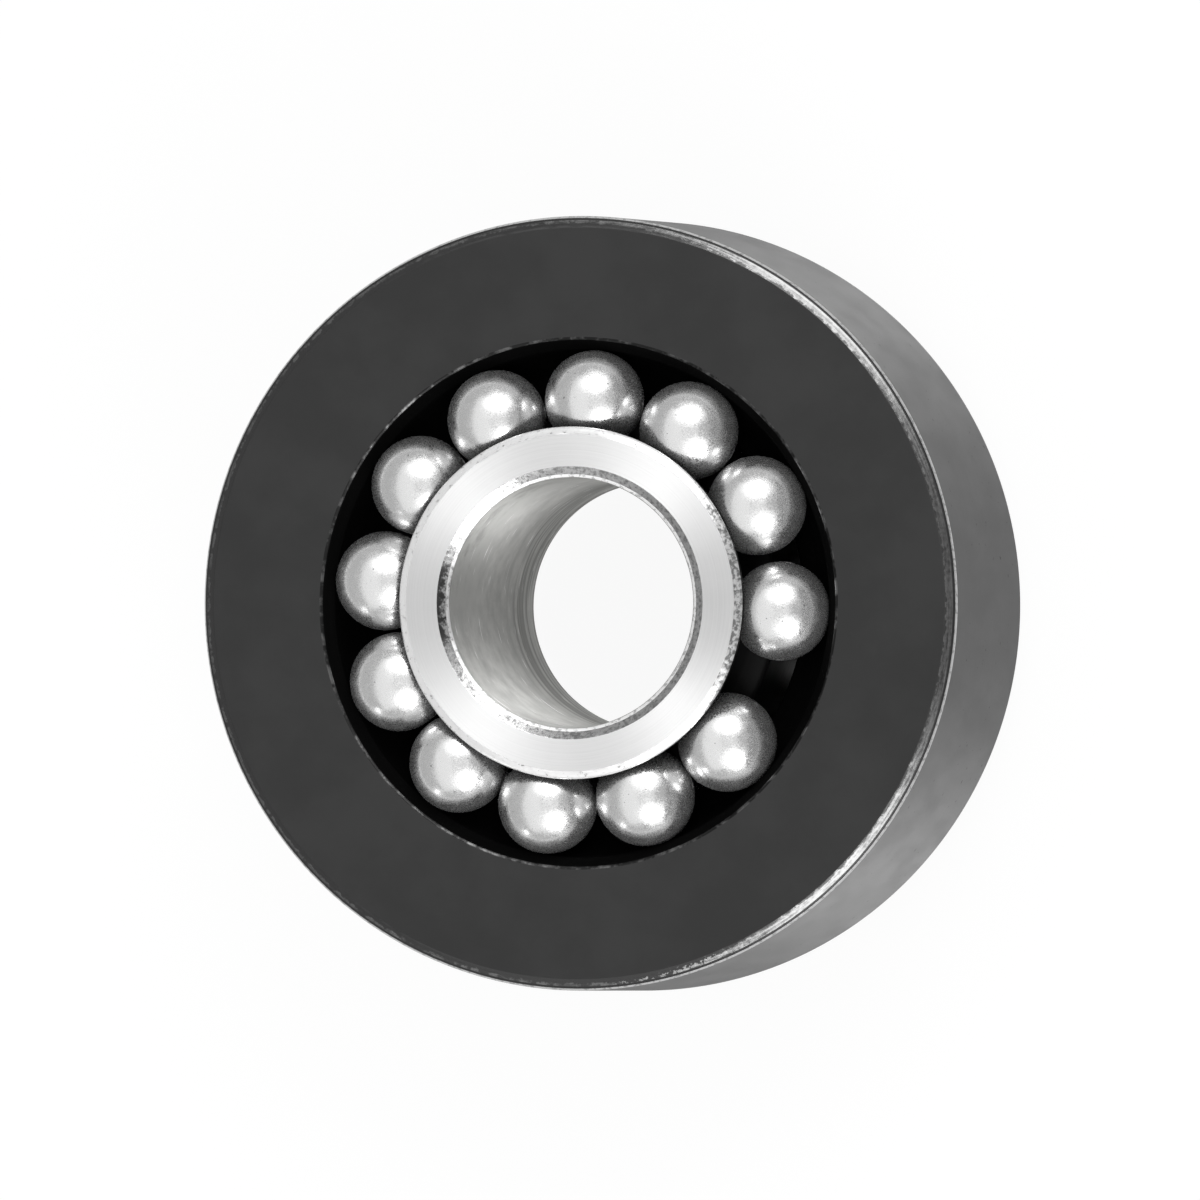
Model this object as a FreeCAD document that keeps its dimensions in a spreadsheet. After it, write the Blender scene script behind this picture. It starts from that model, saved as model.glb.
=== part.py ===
import FreeCAD, Part
import math
import os
import Sketcher
from FreeCAD import Vector

# Ball bearing roller: a plain steel roller ring turns on two rows of loose balls round a long
# inner ring with a through bore. There is no cage, so each row is filled with balls.
# Millimetres. The roller's axis is Z and the origin is the middle of the roller, which lies on
# the lower end of its inner ring.

SHEET = "Dimensions"
DIMENSIONS = [
    # Outer ring: the roller itself
    ("roller_diameter", 62.0),
    ("roller_width", 24.0),
    ("rim_chamfer_width", 0.9),
    ("rim_chamfer_depth", 0.52),
    ("rim_edge_round", 0.55),
    ("shoulder_diameter", 34.6),
    ("mouth_diameter", 42.4),
    ("mouth_depth", 1.2),
    ("mouth_edge_break", 0.12),
    # Inner ring: a sleeve with a raised shoulder between its two ball tracks
    ("sleeve_length", 30.0),
    ("sleeve_diameter", 28.2),
    ("sleeve_shoulder_diameter", 30.4),
    ("sleeve_chamfer_width", 0.6),
    ("sleeve_chamfer_depth", 0.4),
    ("bore_diameter", 20.0),
    ("bore_chamfer_width", 0.9),
    ("bore_chamfer_depth", 0.6),
    # Balls and the tracks that they run in
    ("ball_diameter", 7.938),
    ("pitch_diameter", 32.64),
    ("row_offset", 10.6),
    ("track_radius", 4.13),
    ("running_clearance", 0.05),
    # Angles of the balls round the axis, in degrees
    ("first_ball_angle", -43.0),
    ("close_step", 28.5),
    ("loose_step", 29.0),
    ("last_ball_lag", 1.8),
    ("rear_row_turn", 180.0),
]
BALLS_PER_ROW = 12
CLOSE_STEPS = 3
CUT_OVERSHOOT = 1.0
SAME_PLACE = 1e-4

# Distances that follow from the sheet, as expressions
HALF_WIDTH = f"{SHEET}.roller_width / 2"
HALF_LENGTH = f"{SHEET}.sleeve_length / 2"
PITCH_RADIUS = f"{SHEET}.pitch_diameter / 2"
BALL_REACH = f"{SHEET}.ball_diameter / 2 + {SHEET}.running_clearance"
OUTER_TRACK_CENTRE = f"{PITCH_RADIUS} + {BALL_REACH} - {SHEET}.track_radius"
INNER_TRACK_CENTRE = f"{PITCH_RADIUS} - ({BALL_REACH}) + {SHEET}.track_radius"

START, END, CENTRE = 1, 2, 3
ORIGIN = (-1, 1)


def make_sheet(doc):
    """The driving dimensions, one named cell each."""
    sheet = doc.addObject("Spreadsheet::Sheet", SHEET)
    for row, (alias, value) in enumerate(DIMENSIONS, 1):
        sheet.set(f"A{row}", alias)
        sheet.set(f"B{row}", str(value))
        sheet.setAlias(f"B{row}", alias)
    doc.recompute()


def origin_plane(body, role):
    """One of the body's own origin planes."""
    return next(feature for feature in body.Origin.OriginFeatures if feature.Role == role)


def axial_sketch(body, name):
    """An empty sketch in the plane of the axis: across is the radius, up is the height."""
    sketch = body.newObject("Sketcher::SketchObject", name)
    sketch.AttachmentSupport = (origin_plane(body, "XZ_Plane"), [""])
    sketch.MapMode = "FlatFace"
    return sketch


def bind(sketch, kind, name, expression, *places):
    """A named dimension of the sketch that follows an expression."""
    value = float(sketch.evalExpression(expression))
    index = sketch.addConstraint(Sketcher.Constraint(kind, *places, value))
    sketch.renameConstraint(index, name)
    sketch.setExpression(f"Constraints.{name}", expression)


def bind_point(sketch, name, place, radius=None, height=None):
    """Hold a point of the sketch at a radius, a height or both."""
    if radius is not None:
        bind(sketch, "DistanceX", f"{name}_radius", radius, *ORIGIN, *place)
    if height is not None:
        bind(sketch, "DistanceY", f"{name}_height", height, *ORIGIN, *place)


def draw_chain(sketch, corners):
    """Straight lines through named corners, given as (name, radius, height) expressions."""
    places = [
        Vector(float(sketch.evalExpression(radius)), float(sketch.evalExpression(height)), 0)
        for name, radius, height in corners
    ]
    lines = [
        sketch.addGeometry(Part.LineSegment(first, second))
        for first, second in zip(places, places[1:])
    ]
    for line, following in zip(lines, lines[1:]):
        sketch.addConstraint(Sketcher.Constraint("Coincident", line, END, following, START))
    return lines


def draw_closed_section(sketch, corners):
    """A straight-sided closed section with every corner held by the sheet."""
    lines = draw_chain(sketch, corners + corners[:1])
    sketch.addConstraint(Sketcher.Constraint("Coincident", lines[-1], END, lines[0], START))
    for line, (name, radius, height) in zip(lines, corners):
        bind_point(sketch, name, (line, START), radius, height)


def spin(body, kind, name, sketch):
    """Turn a sketch a full circle about the axis, to add or to cut."""
    feature = body.newObject(kind, name)
    feature.Profile = sketch
    feature.ReferenceAxis = (sketch, ["V_Axis"])
    feature.Angle = 360.0
    body.Document.recompute()
    return feature


def cut_both_ends(body, name, sketch):
    """Cut a ring-shaped groove at the upper end and mirror it to the lower end."""
    blank_volume = body.Shape.Volume
    groove = spin(body, "PartDesign::Groove", name, sketch)
    single_cut = blank_volume - groove.Shape.Volume
    mirror = body.newObject("PartDesign::Mirrored", f"{name}_mirror")
    mirror.Originals = [groove]
    mirror.MirrorPlane = (origin_plane(body, "XY_Plane"), [""])
    body.Tip = mirror
    body.Document.recompute()
    double_cut = blank_volume - mirror.Shape.Volume
    if single_cut <= 0 or abs(double_cut - 2 * single_cut) > SAME_PLACE * blank_volume:
        raise RuntimeError(f"{name} does not cut both ends")


def circles(shape, radius, height):
    """The edges that run full circle at this radius and height, at either end."""
    found = []
    for number, edge in enumerate(shape.Edges, 1):
        if not isinstance(edge.Curve, Part.Circle):
            continue
        same_radius = abs(edge.Curve.Radius - radius) < SAME_PLACE
        if same_radius and abs(abs(edge.Curve.Center.z) - height) < SAME_PLACE:
            found.append(f"Edge{number}")
    return found


def dress_edges(body, kind, name, size_property, size, radius, height):
    """Chamfer or round the two circles at a radius and height given as expressions."""
    base = body.Tip
    edges = circles(base.Shape, float(base.evalExpression(radius)), float(base.evalExpression(height)))
    if len(edges) != 2:
        raise RuntimeError(f"{name} needs one circle at each end, not {len(edges)}")
    feature = body.newObject(kind, name)
    feature.Base = (base, edges)
    feature.setExpression(size_property, size)
    body.Tip = feature
    body.Document.recompute()


def draw_outer_track(sketch):
    """Section cut from the roller's end: a quarter-round ball track that opens out to a mouth."""
    centre = Vector(
        float(sketch.evalExpression(OUTER_TRACK_CENTRE)),
        float(sketch.evalExpression(f"{SHEET}.row_offset")),
        0,
    )
    track_bottom = f"{OUTER_TRACK_CENTRE} + {SHEET}.track_radius"
    mouth_radius = f"{SHEET}.mouth_diameter / 2"
    mouth_start = f"{HALF_WIDTH} - {SHEET}.mouth_depth"
    past_face = f"{HALF_WIDTH} + {CUT_OVERSHOOT}"
    corners = [
        ("track_edge", track_bottom, f"{SHEET}.row_offset"),
        ("mouth_start", track_bottom, mouth_start),
        ("mouth_edge", mouth_radius, HALF_WIDTH),
        ("mouth_top", mouth_radius, past_face),
        ("inner_top", OUTER_TRACK_CENTRE, past_face),
        ("track_start", OUTER_TRACK_CENTRE, f"{SHEET}.row_offset - {SHEET}.track_radius"),
    ]
    lines = draw_chain(sketch, corners)
    circle = Part.Circle(centre, Vector(0, 0, 1), float(sketch.evalExpression(f"{SHEET}.track_radius")))
    arc = sketch.addGeometry(Part.ArcOfCircle(circle, math.radians(-90), 0))
    sketch.addConstraint(Sketcher.Constraint("Coincident", lines[-1], END, arc, START))
    sketch.addConstraint(Sketcher.Constraint("Coincident", arc, END, lines[0], START))
    bind_point(sketch, "track_centre", (arc, CENTRE), OUTER_TRACK_CENTRE, f"{SHEET}.row_offset")
    bind(sketch, "Radius", "track_radius", f"{SHEET}.track_radius", arc)
    bind_point(sketch, "track_edge", (lines[0], START), height=f"{SHEET}.row_offset")
    for line, (name, radius, height) in zip(lines[1:], corners[1:-1]):
        bind_point(sketch, name, (line, START), radius, height)
    bind_point(sketch, "track_start", (lines[-1], END), radius=OUTER_TRACK_CENTRE)


def make_outer_ring(doc):
    """The roller: a thick ring with a ground rim, an open ball track at each end and a shoulder between."""
    body = doc.addObject("PartDesign::Body", "outer_ring")
    rim_radius = f"{SHEET}.roller_diameter / 2"
    rim_edge = f"{HALF_WIDTH} - {SHEET}.rim_chamfer_depth"
    face_radius = f"{rim_radius} - {SHEET}.rim_chamfer_width"
    shoulder_radius = f"{SHEET}.shoulder_diameter / 2"
    blank = axial_sketch(body, "outer_ring_section")
    draw_closed_section(blank, [
        ("lower_inside", shoulder_radius, f"-({HALF_WIDTH})"),
        ("lower_face", face_radius, f"-({HALF_WIDTH})"),
        ("lower_rim", rim_radius, f"-({rim_edge})"),
        ("upper_rim", rim_radius, rim_edge),
        ("upper_face", face_radius, HALF_WIDTH),
        ("upper_inside", shoulder_radius, HALF_WIDTH),
    ])
    spin(body, "PartDesign::Revolution", "outer_ring_blank", blank)
    track = axial_sketch(body, "outer_track_section")
    draw_outer_track(track)
    cut_both_ends(body, "outer_track", track)
    dress_edges(
        body, "PartDesign::Fillet", "rim_edge_rounds", "Radius", f"{SHEET}.rim_edge_round",
        rim_radius, rim_edge,
    )
    dress_edges(
        body, "PartDesign::Chamfer", "mouth_edge_breaks", "Size", f"{SHEET}.mouth_edge_break",
        f"{SHEET}.mouth_diameter / 2", HALF_WIDTH,
    )
    return body


def make_inner_ring(doc):
    """The inner ring: a bored sleeve, thicker between its two deep ball tracks than at its ends."""
    body = doc.addObject("PartDesign::Body", "inner_ring")
    bore_radius = f"{SHEET}.bore_diameter / 2"
    bore_end = f"{HALF_LENGTH} - {SHEET}.bore_chamfer_depth"
    mouth_radius = f"{bore_radius} + {SHEET}.bore_chamfer_width"
    end_radius = f"{SHEET}.sleeve_diameter / 2"
    face_radius = f"{end_radius} - {SHEET}.sleeve_chamfer_width"
    lip_height = f"{HALF_LENGTH} - {SHEET}.sleeve_chamfer_depth"
    shoulder_radius = f"{SHEET}.sleeve_shoulder_diameter / 2"
    row_height = f"{SHEET}.row_offset"
    blank = axial_sketch(body, "inner_ring_section")
    draw_closed_section(blank, [
        ("lower_bore", bore_radius, f"-({bore_end})"),
        ("lower_mouth", mouth_radius, f"-({HALF_LENGTH})"),
        ("lower_face", face_radius, f"-({HALF_LENGTH})"),
        ("lower_lip", end_radius, f"-({lip_height})"),
        ("lower_step", end_radius, f"-{row_height}"),
        ("lower_shoulder", shoulder_radius, f"-{row_height}"),
        ("upper_shoulder", shoulder_radius, row_height),
        ("upper_step", end_radius, row_height),
        ("upper_lip", end_radius, lip_height),
        ("upper_face", face_radius, HALF_LENGTH),
        ("upper_mouth", mouth_radius, HALF_LENGTH),
        ("upper_bore", bore_radius, bore_end),
    ])
    spin(body, "PartDesign::Revolution", "inner_ring_blank", blank)
    track = axial_sketch(body, "inner_track_section")
    centre = Vector(
        float(track.evalExpression(INNER_TRACK_CENTRE)),
        float(track.evalExpression(row_height)),
        0,
    )
    radius = float(track.evalExpression(f"{SHEET}.track_radius"))
    circle = track.addGeometry(Part.Circle(centre, Vector(0, 0, 1), radius))
    bind_point(track, "track_centre", (circle, CENTRE), INNER_TRACK_CENTRE, row_height)
    bind(track, "Radius", "track_radius", f"{SHEET}.track_radius", circle)
    cut_both_ends(body, "inner_track", track)
    return body


def ball_angle(index):
    """Angle of a ball in its row: the first few almost touch, the rest ride a little apart."""
    close = min(index, CLOSE_STEPS)
    loose = index - close
    angle = f"{SHEET}.first_ball_angle - {close} * {SHEET}.close_step - {loose} * {SHEET}.loose_step"
    if index == BALLS_PER_ROW - 1:
        angle += f" - {SHEET}.last_ball_lag"
    return angle


def make_ball_row(doc, row, height, turn):
    """One row of loose balls on the pitch circle, with the slack left over as a single gap."""
    balls = []
    for index in range(BALLS_PER_ROW):
        ball = doc.addObject("Part::Sphere", f"{row}_ball_{index + 1:02d}")
        angle = f"({ball_angle(index)} + {turn}) * 1 deg"
        ball.setExpression("Radius", f"{SHEET}.ball_diameter / 2")
        ball.setExpression("Placement.Base.x", f"{PITCH_RADIUS} * cos({angle})")
        ball.setExpression("Placement.Base.y", f"{PITCH_RADIUS} * sin({angle})")
        ball.setExpression("Placement.Base.z", height)
        balls.append(ball)
    return balls


def check(doc, pieces):
    """Stop unless every feature computed and every piece is one sound solid."""
    doc.recompute()
    for item in doc.Objects:
        if "Invalid" in item.State or "Error" in item.State:
            raise RuntimeError(f"{item.Label} failed: {item.State}")
    for piece in pieces:
        shape = piece.Shape
        if shape.isNull() or not shape.isValid() or len(shape.Solids) != 1:
            raise RuntimeError(f"{piece.Label} is not one valid solid")


def main():
    doc = FreeCAD.newDocument("ball_bearing_roller")
    make_sheet(doc)
    pieces = [make_outer_ring(doc), make_inner_ring(doc)]
    pieces += make_ball_row(doc, "front", f"{SHEET}.row_offset", "0")
    pieces += make_ball_row(doc, "rear", f"-{SHEET}.row_offset", f"{SHEET}.rear_row_turn")
    check(doc, pieces)
    os.makedirs("parts", exist_ok=True)
    for piece in pieces:
        piece.Shape.exportStep(f"parts/{piece.Label}.step")
        print(piece.Label, round(piece.Shape.Volume, 1), "mm3")


main()
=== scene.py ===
import math

import bmesh
import bpy
from mathutils import Matrix, Vector, noise


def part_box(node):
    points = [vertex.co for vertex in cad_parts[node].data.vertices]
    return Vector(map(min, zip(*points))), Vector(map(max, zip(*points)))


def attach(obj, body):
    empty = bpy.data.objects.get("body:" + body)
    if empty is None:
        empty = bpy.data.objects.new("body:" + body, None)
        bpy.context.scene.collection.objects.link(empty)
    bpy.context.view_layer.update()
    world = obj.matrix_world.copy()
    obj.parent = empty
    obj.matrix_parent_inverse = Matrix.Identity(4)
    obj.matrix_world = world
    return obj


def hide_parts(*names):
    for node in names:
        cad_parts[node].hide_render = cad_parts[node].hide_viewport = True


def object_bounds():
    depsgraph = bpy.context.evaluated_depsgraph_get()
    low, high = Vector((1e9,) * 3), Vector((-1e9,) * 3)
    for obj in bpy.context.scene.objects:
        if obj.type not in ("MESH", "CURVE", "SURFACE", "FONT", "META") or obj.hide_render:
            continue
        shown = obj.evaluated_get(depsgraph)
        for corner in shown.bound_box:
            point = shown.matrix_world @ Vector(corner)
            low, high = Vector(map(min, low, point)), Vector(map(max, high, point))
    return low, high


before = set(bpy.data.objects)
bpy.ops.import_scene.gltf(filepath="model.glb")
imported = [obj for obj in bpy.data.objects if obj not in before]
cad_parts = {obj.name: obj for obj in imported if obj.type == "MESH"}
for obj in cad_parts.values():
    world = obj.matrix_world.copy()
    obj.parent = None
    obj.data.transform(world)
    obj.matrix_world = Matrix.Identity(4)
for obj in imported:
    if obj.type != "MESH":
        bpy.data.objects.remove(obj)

# A ball bearing roller lying on the end of its inner ring, seen from above as the photograph shows it.

CAD_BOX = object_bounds()
MM = 0.001

# The photograph's view of the roller, with the camera's distance in metres
PHOTO_SIZE = 1200
PIXELS_PER_MM = 12.5
ROLLER_PIXEL = (613.0, 604.7)
VIEW_TURN = math.radians(13.4)
VIEW_DIP = math.radians(0.6)
CAMERA_DISTANCE = 3.0
SENSOR = 36.0


def half_size(node):
    """Half the width and half the height of a node, in millimetres."""
    low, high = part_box(node)
    size = (high - low) / (2 * MM)
    return size.x, size.z


# Sizes of the sections, in millimetres from the axis and from the middle plane
RIM_RADIUS, ROLLER_HALF = half_size("outer_ring")
SLEEVE_SHOULDER, SLEEVE_HALF = half_size("inner_ring")
BALL_RADIUS = half_size("front_ball_01")[0]
ROW_HEIGHT = sum(corner.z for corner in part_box("front_ball_01")) / (2 * MM)
PITCH_RADIUS = 16.32
RUNNING_CLEARANCE = 0.05
TRACK_RADIUS = 4.13
OUTER_TRACK_BOTTOM = PITCH_RADIUS + BALL_RADIUS + RUNNING_CLEARANCE
INNER_TRACK_BOTTOM = PITCH_RADIUS - BALL_RADIUS - RUNNING_CLEARANCE
ROLLER_SHOULDER = 17.3
MOUTH_RADIUS = 21.2
MOUTH_DEPTH = 1.2
MOUTH_BREAK = 0.12
MOUTH_CROWN = (0.02, 0.04)
SLEEVE_RADIUS = 14.1
BORE_RADIUS = 10.0
BORE_CHAMFER_WIDTH = 0.9
BORE_CHAMFER_DEPTH = 0.6
SLEEVE_CHAMFER_WIDTH = 0.6
SLEEVE_CHAMFER_DEPTH = 0.4
CHAMFER_WIDTH = 0.9
CHAMFER_DEPTH = 0.52
RIM_ROUND = 0.55

# Where one finish gives way to the next: shares of a slope, steps of the rim's round, or millimetres
CHATTERED_SHARES = (0.0, 0.25, 0.5)
BLACK_LINE_SHARE = 0.63
BLACK_LINE_STEPS = 2
BARE_EDGE_STEPS = 6
RUBBED_SHARES = (0.05, 0.18)
TORN_SHARES = (0.32, 0.54, 0.76, 0.97)
LIP_SHARES = (0.0, 0.3, 0.7)
BORE_STOPS_SHORT = 0.05
FACE_STARTS_OUT = 0.03

# Where a finish changes round a ring, in shares of the radius, and along the bore or lip, in millimetres
# The first pair places the painted shade on the rim's chamfer.
PAINTED_SHADE_RIM_SIDE = (-0.05, 0.45)
TORN_RIM_SIDE = (0.03, 0.2)
TORN_RIM_BOTTOM = (-0.95, -0.86)
TORN_BORE_SIDE = (-0.98, -0.93)
TORN_LIP_SIDE = (9.5, 13.0)
BORE_RINGS_HEIGHT = (-9.0, -3.0)
BORE_STAIN_HEIGHT = (2.0, 12.0)
BORE_STAIN_SIDE = (-3.0, 4.0)

# Chatter that the tool has left: its depths and the size of its marks, in millimetres
EDGE_CHATTER = 0.02
CHAMFER_CHATTER = 0.03
LIP_CHATTER = 0.05
CHATTER_PITCH = 0.9
FINE_CHATTER_PITCH = CHATTER_PITCH / 3
FINE_CHATTER_SHARE = 0.35

# How finely the pieces are divided. Points near the ends of a longer stretch hold its shading flat
RING_STEPS = 768
TRACK_STEPS = 20
EDGE_STEPS = 8
HOLD = 0.05
HELD_LENGTH = 0.5
BALL_DETAIL = 5

# Studio, in metres, apart from the floor's fade in millimetres
WORLD_LEVEL = 0.5
FLOOR_WIDTH = 8.0
FLOOR_COLOUR = 0.85
FLOOR_GLOW = 0.93
FLOOR_FADE = (800.0, 1500.0)
SCREEN_COLOUR = 0.25


def camera_axes():
    """The photograph's right, up and towards-the-camera directions."""
    back = Vector((
        math.sin(VIEW_TURN) * math.cos(VIEW_DIP),
        -math.sin(VIEW_DIP),
        math.cos(VIEW_TURN) * math.cos(VIEW_DIP),
    ))
    right = Vector((0, 1, 0)).cross(back).normalized()
    return right, back.cross(right), back


RIGHT, UP, BACK = camera_axes()


def make_camera():
    """A long lens, aimed so that the roller lies in the frame where the photograph has it."""
    data = bpy.data.cameras.new("photo_camera")
    data.sensor_width = SENSOR
    frame_width = PHOTO_SIZE / PIXELS_PER_MM * MM
    data.lens = SENSOR * (CAMERA_DISTANCE - ROLLER_HALF * MM) / frame_width
    data.clip_end = 2 * CAMERA_DISTANCE
    camera = bpy.data.objects.new("photo_camera", data)
    across, down = ((pixel - PHOTO_SIZE / 2) / PIXELS_PER_MM * MM for pixel in ROLLER_PIXEL)
    aim = down * UP - across * RIGHT
    turn = Matrix((RIGHT, UP, BACK)).transposed().to_4x4()
    camera.matrix_world = Matrix.Translation(aim + CAMERA_DISTANCE * BACK) @ turn
    bpy.context.scene.collection.objects.link(camera)
    bpy.context.scene.camera = camera


class Shader:
    """A Principled material being put together, with short calls for the nodes that it needs."""

    def __init__(self, name):
        self.material = bpy.data.materials.new(name)
        self.material.use_nodes = True
        self.tree = self.material.node_tree
        self.surface = self.tree.nodes["Principled BSDF"]
        place = self.tree.nodes.new("ShaderNodeTexCoord").outputs["Object"]
        self.place = self.in_millimetres(place)
        self.across, self.along, self.up = self.split(self.place)
        squares = self.sum(self.times(self.across, self.across), self.times(self.along, self.along))
        self.radius = self.math("SQRT", squares)

    def put(self, socket, value):
        """Link a socket to another, or set its value."""
        if isinstance(value, bpy.types.NodeSocket):
            self.tree.links.new(value, socket)
        elif isinstance(value, (tuple, list)) and len(value) == 3 and socket.type == "RGBA":
            socket.default_value = (*value, 1)
        else:
            socket.default_value = value

    def math(self, operation, *values):
        """A calculation on one number or more."""
        node = self.tree.nodes.new("ShaderNodeMath")
        node.operation = operation
        for socket, value in zip(node.inputs, values):
            self.put(socket, value)
        return node.outputs[0]

    def sum(self, first, second):
        """Two numbers added together."""
        return self.math("ADD", first, second)

    def times(self, *factors):
        """Numbers multiplied together."""
        product = factors[0]
        for factor in factors[1:]:
            product = self.math("MULTIPLY", product, factor)
        return product

    def in_millimetres(self, vector):
        """Turn a place in metres into one in millimetres."""
        node = self.tree.nodes.new("ShaderNodeVectorMath")
        node.operation = "SCALE"
        self.put(node.inputs[0], vector)
        node.inputs["Scale"].default_value = 1 / MM
        return node.outputs["Vector"]

    def split(self, vector):
        """The three numbers of a vector."""
        node = self.tree.nodes.new("ShaderNodeSeparateXYZ")
        self.put(node.inputs[0], vector)
        return node.outputs

    def combine(self, *values):
        """A vector of three numbers."""
        node = self.tree.nodes.new("ShaderNodeCombineXYZ")
        for socket, value in zip(node.inputs, values):
            self.put(socket, value)
        return node.outputs[0]

    def step(self, value, low, high, start=0.0, end=1.0):
        """A smooth step from start to end as a value goes from low to high."""
        node = self.tree.nodes.new("ShaderNodeMapRange")
        node.interpolation_type = "SMOOTHSTEP"
        for name, given in (("Value", value), ("From Min", low), ("From Max", high),
                            ("To Min", start), ("To Max", end)):
            self.put(node.inputs[name], given)
        return node.outputs[0]

    def fall(self, value, low, high, top=1.0):
        """A smooth step from a top down to nothing as a value goes from low to high."""
        return self.step(value, low, high, start=top, end=0.0)

    def noise(self, vector, scale=1.0, detail=2.0, roughness=0.5):
        """A cloudy texture from 0 to 1, with so many marks to a millimetre."""
        node = self.tree.nodes.new("ShaderNodeTexNoise")
        self.put(node.inputs["Vector"], vector)
        node.inputs["Scale"].default_value = scale
        node.inputs["Detail"].default_value = detail
        node.inputs["Roughness"].default_value = roughness
        return node.outputs[0]

    def ringed(self, fine, drift=0.06):
        """Coordinates that stretch a texture into rings round the axis, for tool marks."""
        return self.combine(self.times(self.radius, fine), self.times(self.up, fine),
                            self.times(self.sum(self.across, self.along), drift))

    def stretched(self, level, upright):
        """Coordinates with one scale across the axis and another along it."""
        return self.combine(self.times(self.across, level), self.times(self.along, level),
                            self.times(self.up, upright))

    def mix(self, factor, first, second):
        """Blend two colours."""
        node = self.tree.nodes.new("ShaderNodeMix")
        node.data_type = "RGBA"
        self.put(node.inputs["Factor"], factor)
        self.put(node.inputs[6], first)
        self.put(node.inputs[7], second)
        return node.outputs[2]

    def blend(self, factor, first, second):
        """Blend two numbers."""
        node = self.tree.nodes.new("ShaderNodeMix")
        self.put(node.inputs[0], factor)
        self.put(node.inputs[2], first)
        self.put(node.inputs[3], second)
        return node.outputs[0]

    def bump(self, height, distance):
        """Raise the surface by a height of 0 to 1 times a distance in millimetres."""
        node = self.tree.nodes.new("ShaderNodeBump")
        node.inputs["Distance"].default_value = distance * MM
        self.put(node.inputs["Height"], height)
        return node.outputs[0]

    def turned(self, spread):
        """Stretch the gloss across the marks that a lathe leaves round the axis."""
        node = self.tree.nodes.new("ShaderNodeTangent")
        node.direction_type = "RADIAL"
        node.axis = "Z"
        self.finish(anisotropic=spread, anisotropic_rotation=0.25, tangent=node.outputs[0])

    def finish(self, **values):
        """Give the surface its inputs, named as the surface names them but with underscores."""
        sockets = {socket.name.lower().replace(" ", "_"): socket for socket in self.surface.inputs}
        for name, value in values.items():
            self.put(sockets[name], value)
        return self.material


def grey(level):
    """A neutral colour."""
    return (level, level, level)


def black_oxide():
    """The roller's blackened face: satin and faintly mottled."""
    look = Shader("black_oxide")
    mottle = look.noise(look.place, scale=0.12, detail=5, roughness=0.6)
    fine = look.noise(look.place, scale=5.0)
    colour = look.mix(look.step(mottle, 0.35, 0.65), grey(0.006), grey(0.011))
    return look.finish(base_color=colour, roughness=look.blend(fine, 0.36, 0.44),
                       specular_ior_level=0.43, normal=look.bump(fine, 0.002))


def grease_and_painted_shade(name, darkest, lightest, roughness, gloss):
    """A near-black surface with grease smeared round the axis; its darkness is partly painted shade."""
    look = Shader(name)
    smear = look.noise(look.ringed(3.0), detail=3)
    return look.finish(base_color=look.mix(smear, grey(darkest), grey(lightest)),
                       roughness=look.blend(smear, *roughness), specular_ior_level=gloss)


def black_track():
    """The roller's ball tracks and shoulder between the rings: dull, with grease, and painted near black
    as painted shade.
    """
    return grease_and_painted_shade("black_track", darkest=0.0008, lightest=0.002, roughness=(0.7, 0.9), gloss=0.03)


def sleeve_track():
    """The inner ring's ball tracks and shoulder: painted dark as painted shade, with grease and a faint
    shine.
    """
    return grease_and_painted_shade("sleeve_track", darkest=0.001, lightest=0.006, roughness=(0.4, 0.6), gloss=0.12)


def chattered_steel():
    """The rim's chamfer: bare, streaked and in one place torn, with black painted over one side as painted
    shade.
    """
    look = Shader("chattered_steel")
    rightward = look.times(look.across, 1 / RIM_RADIUS)
    upward = look.times(look.along, 1 / RIM_RADIUS)
    outward = look.step(look.radius, RIM_RADIUS - CHAMFER_WIDTH, RIM_RADIUS - CHAMFER_WIDTH / 2)
    streaks = look.noise(look.ringed(6.0, drift=0.4), detail=3, roughness=0.6)
    chatter = look.noise(look.place, scale=3.0, detail=3, roughness=0.6)
    ragged = look.noise(look.place, scale=1.6, detail=4, roughness=0.65)
    marks = look.sum(look.times(streaks, 0.65), look.times(chatter, 0.35))
    torn = look.times(look.fall(upward, *TORN_RIM_BOTTOM), look.step(rightward, *TORN_RIM_SIDE))
    # Painted shade: more black over one side of the chamfer, fading out across it, for the dark that side
    # would mirror.
    painted_shade_side = look.fall(rightward, *PAINTED_SHADE_RIM_SIDE, top=0.45)
    black_and_painted_shade = look.sum(painted_shade_side, look.times(torn, look.fall(chatter, 0.46, 0.57, top=0.5)))
    uncovered = look.math("SUBTRACT", look.sum(look.times(outward, 0.5), ragged), black_and_painted_shade)
    bare = look.step(uncovered, 0.46, 0.66)
    bright = look.mix(torn, grey(0.18), grey(0.42))
    steel = look.mix(look.step(marks, 0.36, 0.58), grey(0.08), bright)
    return look.finish(base_color=look.mix(bare, grey(0.018), steel), metallic=bare,
                       roughness=look.blend(marks, 0.15, 0.28), normal=look.bump(marks, 0.018))


def bare_edge():
    """Bright steel along the rim's edge, where the black has been cut through."""
    look = Shader("bare_edge")
    nicks = look.noise(look.place, scale=3.0)
    return look.finish(base_color=look.mix(look.step(nicks, 0.35, 0.5), grey(0.33), grey(0.54)),
                       metallic=1.0, roughness=look.blend(nicks, 0.4, 0.5))


def worn_edge():
    """Edge of the mouth, where the black is worn down to dark steel that shines in places."""
    look = Shader("worn_edge")
    bare = look.step(look.noise(look.place, scale=0.8, detail=4, roughness=0.65), 0.45, 0.68)
    return look.finish(base_color=look.mix(bare, grey(0.02), grey(0.11)), metallic=1.0,
                       roughness=look.blend(bare, 0.36, 0.28))


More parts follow.
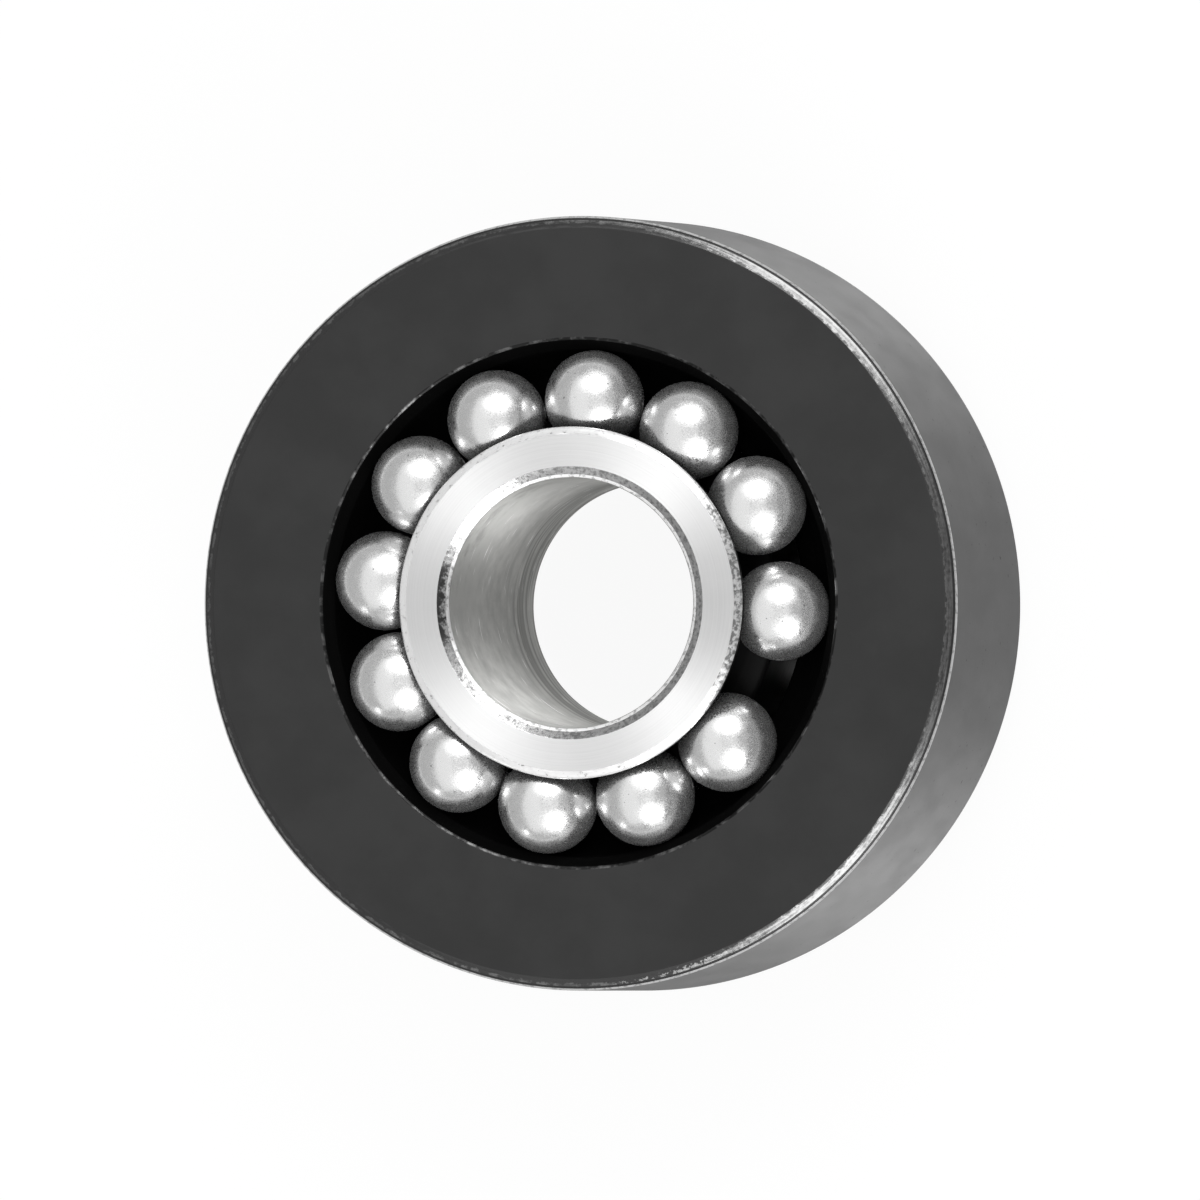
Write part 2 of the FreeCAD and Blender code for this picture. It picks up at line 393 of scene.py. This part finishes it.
def ground_rim():
    """The roller's running surface: dull grey ground steel with faint rings, clouds and a few specks."""
    look = Shader("ground_rim")
    rings = look.noise(look.ringed(5.0), detail=3)
    clouds = look.noise(look.stretched(1.0, upright=0.4), scale=0.35, detail=5, roughness=0.65)
    cloud = look.step(clouds, 0.3, 0.7)
    specks = look.step(look.noise(look.place, scale=2.0, detail=1), 0.74, 0.8)
    groove = look.mix(cloud, grey(0.155), grey(0.188))
    ridge = look.mix(cloud, grey(0.17), grey(0.206))
    colour = look.mix(specks, look.mix(rings, groove, ridge), grey(0.08))
    look.turned(0.92)
    return look.finish(base_color=colour, metallic=1.0, roughness=look.blend(cloud, 0.56, 0.62),
                       normal=look.bump(rings, 0.002))


def turned_face():
    """The inner ring's end: bright lathe-turned steel with fine rings."""
    look = Shader("turned_face")
    rings = look.noise(look.ringed(9.0), detail=4)
    smudge = look.noise(look.place, scale=0.5, detail=4)
    groove = look.mix(smudge, grey(0.74), grey(0.83))
    colour = look.mix(look.step(rings, 0.15, 0.85), groove, grey(0.86))
    look.turned(0.86)
    return look.finish(base_color=colour, metallic=1.0, roughness=look.blend(rings, 0.56, 0.64),
                       normal=look.bump(rings, 0.002))


def bore_steel():
    """The bore: greyer steel with dark rings to the rear, a stain in front and a few bright scratches."""
    look = Shader("bore_steel")
    dark = (0.3, 0.3, 0.29)
    rings = look.noise(look.ringed(1.3), detail=3)
    cloud = look.step(look.noise(look.place, scale=0.5, detail=5, roughness=0.65), 0.3, 0.7)
    scratches = look.step(look.noise(look.stretched(0.3, upright=2.6)), 0.67, 0.75)
    rear_rings = look.times(look.fall(look.up, *BORE_RINGS_HEIGHT), look.fall(rings, 0.42, 0.58))
    stain = look.times(look.step(look.up, *BORE_STAIN_HEIGHT),
                       look.step(look.along, *BORE_STAIN_SIDE), cloud)
    colour = look.mix(cloud, (0.42, 0.42, 0.41), (0.55, 0.55, 0.535))
    colour = look.mix(rear_rings, colour, dark)
    colour = look.mix(stain, colour, dark)
    colour = look.mix(scratches, colour, grey(0.9))
    look.turned(0.92)
    return look.finish(base_color=colour, metallic=1.0, roughness=look.blend(cloud, 0.58, 0.66),
                       normal=look.bump(rings, 0.004))


def dark_side(look):
    """The side of the bore's chamfer that is torn most, from 0 to 1."""
    return look.fall(look.math("DIVIDE", look.across, look.radius), *TORN_BORE_SIDE)


def torn_chamfer():
    """The bore's chamfer: glossy steel that the tool has torn, with dark specks, most on one side."""
    look = Shader("torn_chamfer")
    side = dark_side(look)
    inward = look.fall(look.radius, BORE_RADIUS, BORE_RADIUS + BORE_CHAMFER_WIDTH)
    torn = look.noise(look.place, scale=2.8, detail=4, roughness=0.65)
    shift = look.times(side, look.math("SUBTRACT", look.times(inward, 0.3), 0.2))
    speck = look.mix(side, grey(0.26), grey(0.07))
    colour = look.mix(look.step(look.sum(torn, shift), 0.36, 0.56), speck, grey(0.5))
    return look.finish(base_color=colour, metallic=1.0, roughness=look.blend(torn, 0.2, 0.28),
                       normal=look.bump(torn, 0.012))


def rubbed_edge():
    """The inner edge of the bore's chamfer, rubbed bright by axles going in, but less on its torn side."""
    look = Shader("rubbed_edge")
    side = dark_side(look)
    rub = look.noise(look.place, scale=2.4, detail=3, roughness=0.6)
    dull = look.mix(side, grey(0.5), grey(0.2))
    bright = look.mix(side, grey(0.92), grey(0.5))
    return look.finish(base_color=look.mix(look.step(rub, 0.35, 0.5), dull, bright), metallic=0.55,
                       roughness=look.blend(rub, 0.36, 0.46), normal=look.bump(rub, 0.01))


def torn_lip():
    """The chamfer round the inner ring's end: bright, but torn by the tool on one side."""
    look = Shader("torn_lip")
    side = look.step(look.across, *TORN_LIP_SIDE)
    marks = look.noise(look.place, scale=2.8, detail=4, roughness=0.65)
    torn = look.math("SUBTRACT", marks, look.times(side, 0.14))
    bright = look.mix(side, grey(0.85), grey(0.5))
    colour = look.mix(look.step(torn, 0.28, 0.42), grey(0.16), bright)
    return look.finish(base_color=colour, metallic=0.5, roughness=look.blend(torn, 0.2, 0.3),
                       normal=look.bump(torn, 0.012))


def ball_steel():
    """Ball steel with a fine grain, a dull haze in places and a few pits."""
    look = Shader("ball_steel")
    haze = look.noise(look.place, scale=1.2, detail=4)
    grain = look.noise(look.place, scale=8.0)
    matt = look.step(look.sum(look.times(grain, 0.7), look.times(haze, 0.3)), 0.3, 0.68)
    smooth = look.step(look.noise(look.place, scale=3.5, detail=1), 0.22, 0.26)
    return look.finish(base_color=look.mix(smooth, grey(0.3), grey(0.73)), metallic=0.92,
                       roughness=look.blend(matt, 0.11, 0.39), normal=look.bump(grain, 0.005))


def arc(centre, radius, start, end, steps):
    """Points along an arc of a section, from one angle to another in degrees."""
    angles = [math.radians(start + (end - start) * step / steps) for step in range(steps + 1)]
    return [(centre[0] + radius * math.cos(angle), centre[1] + radius * math.sin(angle))
            for angle in angles]


def slope(start, end, shares):
    """Points of a section on a straight slope, each at its share of the way."""
    return [Vector(start).lerp(Vector(end), share) for share in shares]


def outer_section():
    """Upper half of the roller's section, from the middle of its shoulder to the middle of its rim."""
    centre_radius = OUTER_TRACK_BOTTOM - TRACK_RADIUS
    shoulder_angle = math.degrees(-math.acos((ROLLER_SHOULDER - centre_radius) / TRACK_RADIUS))
    chamfer = (RIM_RADIUS - CHAMFER_WIDTH, ROLLER_HALF), (RIM_RADIUS, ROLLER_HALF - CHAMFER_DEPTH)
    tilt = math.atan2(CHAMFER_DEPTH, CHAMFER_WIDTH)
    round_height = ROLLER_HALF - CHAMFER_DEPTH - RIM_ROUND * math.tan((math.pi / 2 - tilt) / 2)
    round_centre = (RIM_RADIUS - RIM_ROUND, round_height)
    rim_edge = arc(round_centre, RIM_ROUND, 90 - math.degrees(tilt), 0, EDGE_STEPS)
    return [
        # The ball track below is painted near black as painted shade, with grease on it.
        ("black_track", 0, [
            (ROLLER_SHOULDER, 0),
            *arc((centre_radius, ROW_HEIGHT), TRACK_RADIUS, shoulder_angle, 0, TRACK_STEPS),
            (OUTER_TRACK_BOTTOM, ROLLER_HALF - MOUTH_DEPTH),
        ]),
        ("worn_edge", EDGE_CHATTER, [
            (MOUTH_RADIUS - MOUTH_BREAK, ROLLER_HALF - MOUTH_BREAK),
            (MOUTH_RADIUS - MOUTH_CROWN[0], ROLLER_HALF - MOUTH_CROWN[1]),
        ]),
        ("black_oxide", 0, [(MOUTH_RADIUS + MOUTH_BREAK, ROLLER_HALF)]),
        ("chattered_steel", CHAMFER_CHATTER, slope(*chamfer, CHATTERED_SHARES)),
        ("black_oxide", 0, [*slope(*chamfer, [BLACK_LINE_SHARE]), *rim_edge[:BLACK_LINE_STEPS]]),
        ("bare_edge", 0, rim_edge[BLACK_LINE_STEPS:BARE_EDGE_STEPS]),
        ("ground_rim", 0, [*rim_edge[BARE_EDGE_STEPS:], (RIM_RADIUS, 0)]),
    ]


def inner_section():
    """Upper half of the inner ring's section, from the middle of its bore to its middle shoulder."""
    centre_radius = INNER_TRACK_BOTTOM + TRACK_RADIUS
    top_angle = math.degrees(math.acos((SLEEVE_RADIUS - centre_radius) / TRACK_RADIUS))
    shoulder_angle = 360 - math.degrees(math.acos((SLEEVE_SHOULDER - centre_radius) / TRACK_RADIUS))
    bore_end = (BORE_RADIUS, SLEEVE_HALF - BORE_CHAMFER_DEPTH)
    mouth = (BORE_RADIUS + BORE_CHAMFER_WIDTH, SLEEVE_HALF)
    face_end = (SLEEVE_RADIUS - SLEEVE_CHAMFER_WIDTH, SLEEVE_HALF)
    lip = (SLEEVE_RADIUS, SLEEVE_HALF - SLEEVE_CHAMFER_DEPTH)
    return [
        ("bore_steel", 0, [(BORE_RADIUS, 0), (BORE_RADIUS, bore_end[1] - BORE_STOPS_SHORT)]),
        ("rubbed_edge", EDGE_CHATTER, slope(bore_end, mouth, RUBBED_SHARES)),
        ("torn_chamfer", CHAMFER_CHATTER, slope(bore_end, mouth, TORN_SHARES)),
        ("turned_face", 0, [(mouth[0] + FACE_STARTS_OUT, SLEEVE_HALF)]),
        ("torn_lip", LIP_CHATTER, slope(face_end, lip, LIP_SHARES)),
        # The inner ring's ball track below is painted dark as painted shade, with grease on it.
        ("sleeve_track", 0, [
            lip,
            *arc((centre_radius, ROW_HEIGHT), TRACK_RADIUS, top_angle, shoulder_angle, TRACK_STEPS),
            (SLEEVE_SHOULDER, 0),
        ]),
    ]


def closed_outline(section):
    """A half section and its mirror image as one closed outline of (finish, chatter, radius, height)."""
    half = [(finish, chatter, *point) for finish, chatter, points in section for point in points]
    # A finish belongs to the stretch after its point, so the mirror image takes it from the point before
    mirror = [(before[0], chatter, radius, -height)
              for before, (_, chatter, radius, height) in zip(half[-3::-1], half[-2:0:-1])]
    outline = []
    for here, after in zip(half + mirror, half[1:] + mirror + half[:1]):
        outline.append(here)
        finish, start, end = here[0], Vector(here[2:]), Vector(after[2:])
        length = (end - start).length
        if length > HELD_LENGTH:
            near = HOLD / length
            held = slope(start, end, (near, 2 * near, 1 - 2 * near, 1 - near))
            outline += [(finish, 0, *point) for point in held]
    return outline


def tear(place):
    """How deep the tool has torn the steel at a place, from 0 to 1."""
    coarse = noise.noise(place / CHATTER_PITCH)
    fine = noise.noise(place / FINE_CHATTER_PITCH)
    return min(max((1 + coarse) / 2 + FINE_CHATTER_SHARE * fine, 0), 1)


def turn_ring(node, section, finishes):
    """A ring turned from its section, in the place of its solid, with chatter left on its rough edges."""
    outline = closed_outline(section)
    used = sorted({finish for finish, *_ in outline})
    turns = [2 * math.pi * step / RING_STEPS for step in range(RING_STEPS)]
    spokes = [Vector((math.cos(turn), math.sin(turn), 0)) for turn in turns]
    corners, faces, indices = [], [], []
    for index, (finish, chatter, radius, height) in enumerate(outline):
        after = (index + 1) % len(outline)
        run = Vector(outline[after][2:]) - Vector(outline[index - 1][2:])
        inward = Vector((run.y, -run.x)).normalized()
        level = Vector((0, 0, height))
        for step, spoke in enumerate(spokes):
            depth = chatter * tear(spoke * radius + level) if chatter else 0
            corner = spoke * (radius + depth * inward.x)
            corner.z = height + depth * inward.y
            corners.append(corner * MM)
            onward = (step + 1) % RING_STEPS
            faces.append((index * RING_STEPS + step, after * RING_STEPS + step,
                          after * RING_STEPS + onward, index * RING_STEPS + onward))
        indices += [used.index(finish)] * RING_STEPS
    mesh = bpy.data.meshes.new(f"{node}_turned")
    mesh.from_pydata(corners, [], faces)
    for finish in used:
        mesh.materials.append(finishes[finish])
    mesh.polygons.foreach_set("material_index", indices)
    mesh.shade_smooth()
    place_piece(mesh, node)


def make_ball(node, finishes):
    """A finely divided ball in the place of its solid."""
    low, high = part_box(node)
    mesh = bpy.data.meshes.new(f"{node}_polished")
    ball = bmesh.new()
    bmesh.ops.create_icosphere(ball, subdivisions=BALL_DETAIL, radius=BALL_RADIUS * MM)
    bmesh.ops.translate(ball, verts=ball.verts, vec=(low + high) / 2)
    ball.to_mesh(mesh)
    ball.free()
    mesh.shade_smooth()
    mesh.materials.append(finishes["ball_steel"])
    place_piece(mesh, node)


def place_piece(mesh, node):
    """Put a piece in the scene in the place of a node, on that node's body, and hide the node."""
    piece = bpy.data.objects.new(mesh.name, mesh)
    bpy.context.scene.collection.objects.link(piece)
    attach(piece, node)
    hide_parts(node)


def make_sheet(name, width, height, place):
    """A flat sheet of the studio, centred on a place and square to its third axis."""
    mesh = bpy.data.meshes.new(name)
    ends = ((-1, -1), (1, -1), (1, 1), (-1, 1))
    mesh.from_pydata([(x * width / 2, y * height / 2, 0) for x, y in ends], [], [(0, 1, 2, 3)])
    sheet = bpy.data.objects.new(name, mesh)
    sheet.matrix_world = place
    bpy.context.scene.collection.objects.link(sheet)
    return sheet


def make_floor():
    """A pale floor, white near the roller to the camera and in reflections, with the roller's shadow."""
    floor = make_sheet("floor", FLOOR_WIDTH, FLOOR_WIDTH, Matrix.Translation((0, 0, CAD_BOX[0].z)))
    look = Shader("floor")
    look.finish(base_color=grey(FLOOR_COLOUR), roughness=1.0, specular_ior_level=0.0)
    rays = look.tree.nodes.new("ShaderNodeLightPath").outputs
    mirrored = look.math("MAXIMUM", rays["Is Glossy Ray"], rays["Is Transmission Ray"])
    seen = look.math("MAXIMUM", rays["Is Camera Ray"], mirrored)
    glow = look.tree.nodes.new("ShaderNodeEmission")
    faded = look.mix(look.step(look.radius, *FLOOR_FADE), grey(1.0), grey(WORLD_LEVEL))
    look.put(glow.inputs["Color"], faded)
    both = look.tree.nodes.new("ShaderNodeMixShader")
    look.put(both.inputs[0], look.times(seen, FLOOR_GLOW))
    look.put(both.inputs[1], look.surface.outputs[0])
    look.put(both.inputs[2], glow.outputs[0])
    look.put(look.tree.nodes["Material Output"].inputs["Surface"], both.outputs[0])
    floor.data.materials.append(look.material)


def facing(direction, distance):
    """A place in the studio that faces the roller. Its direction is right, up and back."""
    away = (direction[0] * RIGHT + direction[1] * UP + direction[2] * BACK).normalized()
    across = UP.cross(away).normalized()
    turn = Matrix((across, away.cross(across), away)).transposed().to_4x4()
    return Matrix.Translation(away * distance) @ turn


def make_lamp(name, shape, direction, distance, size, radiance):
    """A soft lamp of even brightness that faces the roller."""
    data = bpy.data.lights.new(name, "AREA")
    data.shape = shape
    data.size, data.size_y = size
    area = size[0] * size[1] * (1 if shape == "RECTANGLE" else math.pi / 4)
    data.energy = radiance * math.pi * area
    lamp = bpy.data.objects.new(name, data)
    lamp.matrix_world = facing(direction, distance)
    lamp.visible_camera = False
    bpy.context.scene.collection.objects.link(lamp)


def make_screen(name, direction, distance, size):
    """A plain dark screen beside the roller, which the balls mirror and the camera doesn't see."""
    screen = make_sheet(name, *size, facing(direction, distance))
    screen.visible_camera = False
    look = Shader(name)
    look.finish(base_color=grey(SCREEN_COLOUR), roughness=1.0, specular_ior_level=0.0)
    screen.data.materials.append(look.material)


def make_world():
    """A dim even studio round the lamps."""
    world = bpy.data.worlds.new("studio")
    world.use_nodes = True
    background = world.node_tree.nodes["Background"]
    background.inputs["Color"].default_value = (*grey(WORLD_LEVEL), 1)
    bpy.context.scene.world = world


def light_studio():
    """Two bright soft boxes with dim halos, two grey panels, a low lamp at the left and a dark screen."""
    make_lamp("upper_box", "ELLIPSE", direction=(0.08, 0.66, 0.75),
              distance=0.8, size=(0.5, 0.42), radiance=4.6)
    make_lamp("upper_halo", "ELLIPSE", direction=(0.04, 0.68, 0.73),
              distance=0.8, size=(1.1, 0.8), radiance=0.5)
    make_lamp("lower_box", "ELLIPSE", direction=(0.31, -0.66, 0.68),
              distance=0.8, size=(0.5, 0.46), radiance=5.6)
    make_lamp("lower_halo", "ELLIPSE", direction=(0.31, -0.66, 0.68),
              distance=0.8, size=(0.95, 0.85), radiance=0.5)
    make_lamp("side_panel", "RECTANGLE", direction=(-0.60, -0.12, 0.79),
              distance=0.5, size=(0.424, 1.6), radiance=0.5)
    make_lamp("front_panel", "RECTANGLE", direction=(0.09, 0.0, 1.0),
              distance=0.5, size=(0.32, 0.8), radiance=0.38)
    make_lamp("low_lamp", "DISK", direction=(-0.60, -0.80, -0.02),
              distance=0.6, size=(0.095, 0.095), radiance=3.5)
    make_screen("side_screen", direction=(0.92, 0.0, 0.36), distance=0.5, size=(0.38, 1.2))


bpy.context.scene.view_settings.view_transform = "Standard"
make_camera()
make_world()
make_floor()
light_studio()

finishes = {make.__name__: make() for make in (
    black_oxide, black_track, chattered_steel, bare_edge, worn_edge, ground_rim,
    turned_face, bore_steel, torn_chamfer, torn_lip, rubbed_edge, sleeve_track, ball_steel,
)}
turn_ring("outer_ring", outer_section(), finishes)
turn_ring("inner_ring", inner_section(), finishes)
for name in sorted(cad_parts):
    if "_ball_" in name:
        make_ball(name, finishes)
